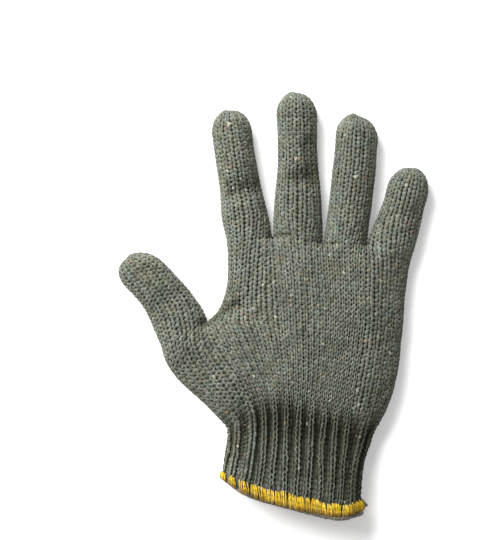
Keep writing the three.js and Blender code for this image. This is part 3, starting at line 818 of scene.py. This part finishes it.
ORANGE = np.array([0.18, 0.085, 0.012])  # at the bottom, where the yarn turns out of the light
PALE = np.array([0.5, 0.4, 0.09])
ORANGE_POINTS, ORANGE_SHARES = (1.8, 4.6), (0.35, 1)
ORANGE_MEAN, ORANGE_SPREAD = 0.04, 0.14
BRIGHT_SPREAD, BRIGHT_LIMITS = 0.2, (0.5, 1.5)
PALE_STRANDS, PALE_MIX = 0.15, 0.6
WIDE_SPREAD = 0.1


# Places round the cuff's mouth, by the wale counted from the thumb's side over the top and back below.
def mouth_places(wale, row, out):
    wale = np.mod(wale, WALES_ROUND)
    side = np.where(wale < WALES_ROUND / 2, 1, -1)
    from_left = np.where(side > 0, wale, WALES_ROUND - wale)
    strip = np.clip(np.searchsorted(WALES_BEFORE, from_left, side="right") - 1, 0, 4)
    places, ways = np.zeros((len(wale), 3)), np.zeros((len(wale), 3))
    for i in range(5):
        here = strip == i
        if here.any():
            across = np.clip((from_left[here] - WALES_BEFORE[i]) / STALL_SIZES["wales"][i], 0, 1)
            level = out[here] + RIB_FOLLOW * rib_depth(i, row, across)
            places[here], ways[here], _ = cloth_places(i, row, across, side[here], level)
    return places, ways


# The cloth's raw edge, the way out of the cloth there, and the way on past the edge.
def raw_edge(wale):
    flush = np.zeros(len(wale))
    edge, way = mouth_places(wale, END_ROW, flush)
    above, _ = mouth_places(wale, END_ROW - 1, flush)
    past = edge - above
    return edge, way, past / np.linalg.norm(past, axis=1)[:, None]


wrap_at, wrap_pitch = [], []
at = FIRST_WRAP
while at < LAST_WRAP:
    near_pitch = mix(WIDE_PITCH, CLOSE_PITCH, smooth(at, *PITCH_EASE))
    pitch = near_pitch if at < WALES_ROUND / 2 else FAR_PITCH
    wrap_at.append(at + pitch / 2)
    wrap_pitch.append(pitch)
    at += pitch * draw.uniform(*PITCH_LIMITS)
clump_count = len(wrap_at)
strand_count = clump_count * STRANDS
wrap_at = np.repeat(np.array(wrap_at), STRANDS)
wrap_pitch = np.repeat(np.array(wrap_pitch), STRANDS)
place_in_wrap = np.tile(np.linspace(-0.5, 0.5, STRANDS), clump_count)
slant = np.repeat(draw.normal(SLANT, CLUMP_SLANT_SPREAD, clump_count), STRANDS)
slant = slant + draw.normal(0, STRAND_SLANT_SPREAD, strand_count)
proud = draw.normal(0, PROUD_SPREAD, strand_count)
top_row = WRAP_TOP_ROW + np.repeat(draw.normal(0, CLUMP_TOP_SPREAD, clump_count), STRANDS)
top_row = top_row + draw.normal(0, STRAND_TOP_SPREAD, strand_count)
top_row = top_row - TALL_ROWS * np.exp(-((wrap_at - TALL_WALE) / TALL_REACH) ** 2)
mean_top = top_row.mean()
bunch = wrap_pitch * mix(CLUMP_LOOSE, CLUMP_FULL, smooth(wrap_at, *CLUMP_EASE))
down = raw_edge(wrap_at)[2]

# A strand runs down the cloth's face, in a half turn round the raw edge, and a little way up the inside.
centres, ways = [], []
for share in np.linspace(0, 1, 5):
    gather = GATHER + GATHER_BELLY * math.sin(math.pi * (GATHER_START + GATHER_SPAN * share))
    wale = wrap_at + place_in_wrap * bunch * gather - slant * (1 - share)
    sink = (WRAP_SINK + WRAP_OUT) * (1 - smooth(share, *SINK_EASE))
    places, way = mouth_places(wale, mix(mean_top, END_ROW, share), WRAP_OUT + proud - sink)
    centres.append(places + down * (1 - share) * (top_row - mean_top)[:, None] * TOP_STEP)
    ways.append(way)
end_wale = wrap_at + place_in_wrap * bunch * GATHER
edge, edge_way, _ = raw_edge(end_wale)
middle = edge - edge_way * CLOTH_THICK / 2
reach = CLOTH_THICK / 2 + WRAP_OUT
for turn in np.linspace(0, math.pi, 5)[1:-1]:
    centres.append(middle + edge_way * reach * math.cos(turn) + down * WRAP_TURN * math.sin(turn))
    ways.append(edge_way * math.cos(turn) + down * math.sin(turn))
inside = np.full(strand_count, -CLOTH_THICK - WRAP_OUT)
for share in np.linspace(1, INSIDE_LAST, 3):
    places, way = mouth_places(end_wale, mix(WRAP_TOP_ROW, END_ROW, share), inside)
    centres.append(places)
    ways.append(-way)
centres, ways = np.stack(centres, axis=1), np.stack(ways, axis=1)
points = centres.shape[1]
body = BODY_ENDS + BODY_BELLY * np.sin(np.linspace(0.1, 0.9, points) * math.pi)
wide = STRAND_WIDE * body * np.clip(draw.normal(1, WIDE_SPREAD, (strand_count, 1)), 0.8, 1.2)
orange = smooth(np.arange(points), *ORANGE_POINTS)[None]
orange = orange * draw.uniform(*ORANGE_SHARES, (strand_count, 1))
orange = np.clip(orange + draw.normal(ORANGE_MEAN, ORANGE_SPREAD, (strand_count, 1)), 0, 1)
brightness = np.clip(draw.normal(1, BRIGHT_SPREAD, (strand_count, 1, 1)), *BRIGHT_LIMITS)
colours = mix(YELLOW, ORANGE, orange[..., None]) * brightness
pale = draw.random(strand_count) < PALE_STRANDS
colours[pale] = mix(colours[pale], PALE, PALE_MIX)
hem_wraps = yarn_mesh("hem_wraps", centres, ways, wide, wide * STRAND_THICK / STRAND_WIDE, colours)

# The grey cord is one ring under the wraps, a little past the cloth's raw edge, whose ends overlap. It
# is thicker and hangs lower towards the little finger's side.
CORD_STEPS, CORD_OVERLAP = 240, 3
CORD_DROP, CORD_INSET = 1.3, 0.3  # past the raw edge, and below the middle of the cloth's thickness
CORD_WIDE, CORD_FLATNESS = 1.1, 0.8
CORD_SWELL, SWELL_DROP = 0.7, 0.9
SWELL_WALES, SHRINK_WALES = (16, 35), (40, 46)
CORD_COLOUR = np.array([0.145, 0.13, 0.105])
CORD_TINT_SPREAD, CORD_WIDE_SPREAD = 0.12, 0.08
cord_wale = np.linspace(0, WALES_ROUND, CORD_STEPS, endpoint=False)
swell = smooth(cord_wale, *SWELL_WALES) * (1 - smooth(cord_wale, *SHRINK_WALES))
ring, ring_way, ring_down = raw_edge(cord_wale)
ring = ring - ring_way * (CLOTH_THICK / 2 + CORD_INSET)
ring = ring + ring_down * (CORD_DROP + SWELL_DROP * swell)[:, None]
ring = np.concatenate([ring, ring[:CORD_OVERLAP]])
ring_way = np.concatenate([ring_way, ring_way[:CORD_OVERLAP]])
cord_colour = CORD_COLOUR * draw.normal(1, CORD_TINT_SPREAD, (len(ring), 1))
cord_wide = CORD_WIDE * np.clip(draw.normal(1, CORD_WIDE_SPREAD, len(ring)), 0.8, 1.2)
cord_wide[:CORD_STEPS] *= 1 + CORD_SWELL * swell
hem_cord = yarn_mesh(
    "hem_cord", ring[None], ring_way[None], cord_wide[None], cord_wide[None] * CORD_FLATNESS,
    cord_colour[None],
)

# At the little finger's side the cord's two ends are twisted together and stick out as a short tail.
TAIL_START, TAIL_END = np.array([50.2, -119.1, 10.2]), np.array([56.6, -120.4, 8.6])
TAIL_WIDE = np.array([3.2, 3.7, 3.4, 2.6, 1.6, 0.5])
TAIL_FLATNESS, TAIL_SIDES = 0.7, 12
TAIL_COLOUR = np.array([0.125, 0.125, 0.095])
tail_share = np.linspace(0, 1, len(TAIL_WIDE))[:, None]
tail = mix(TAIL_START, TAIL_END, tail_share)
tail_colour = TAIL_COLOUR * draw.normal(1, CORD_TINT_SPREAD, (len(TAIL_WIDE), 1))
hem_tail = yarn_mesh(
    "tail", tail[None], np.tile((0.0, 0.0, 1.0), (1, len(tail), 1)),
    TAIL_WIDE[None], TAIL_WIDE[None] * TAIL_FLATNESS, tail_colour[None], sides=TAIL_SIDES,
)
hem_cord = joined(hem_cord, hem_tail)

# The overlock yarn has the same fibres as the knit's, in its own colours and with a little less fuzz.
hem_yarn = heather_yarn("yellow overlock yarn")
hem_yarn.node_tree.nodes["Principled BSDF"].inputs["Sheen Weight"].default_value = 0.1
for piece, finish in ((hem_wraps, hem_yarn), (hem_cord, heather)):
    piece.data.materials.append(finish)
    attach(piece, "root")
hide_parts("overlock_hem")
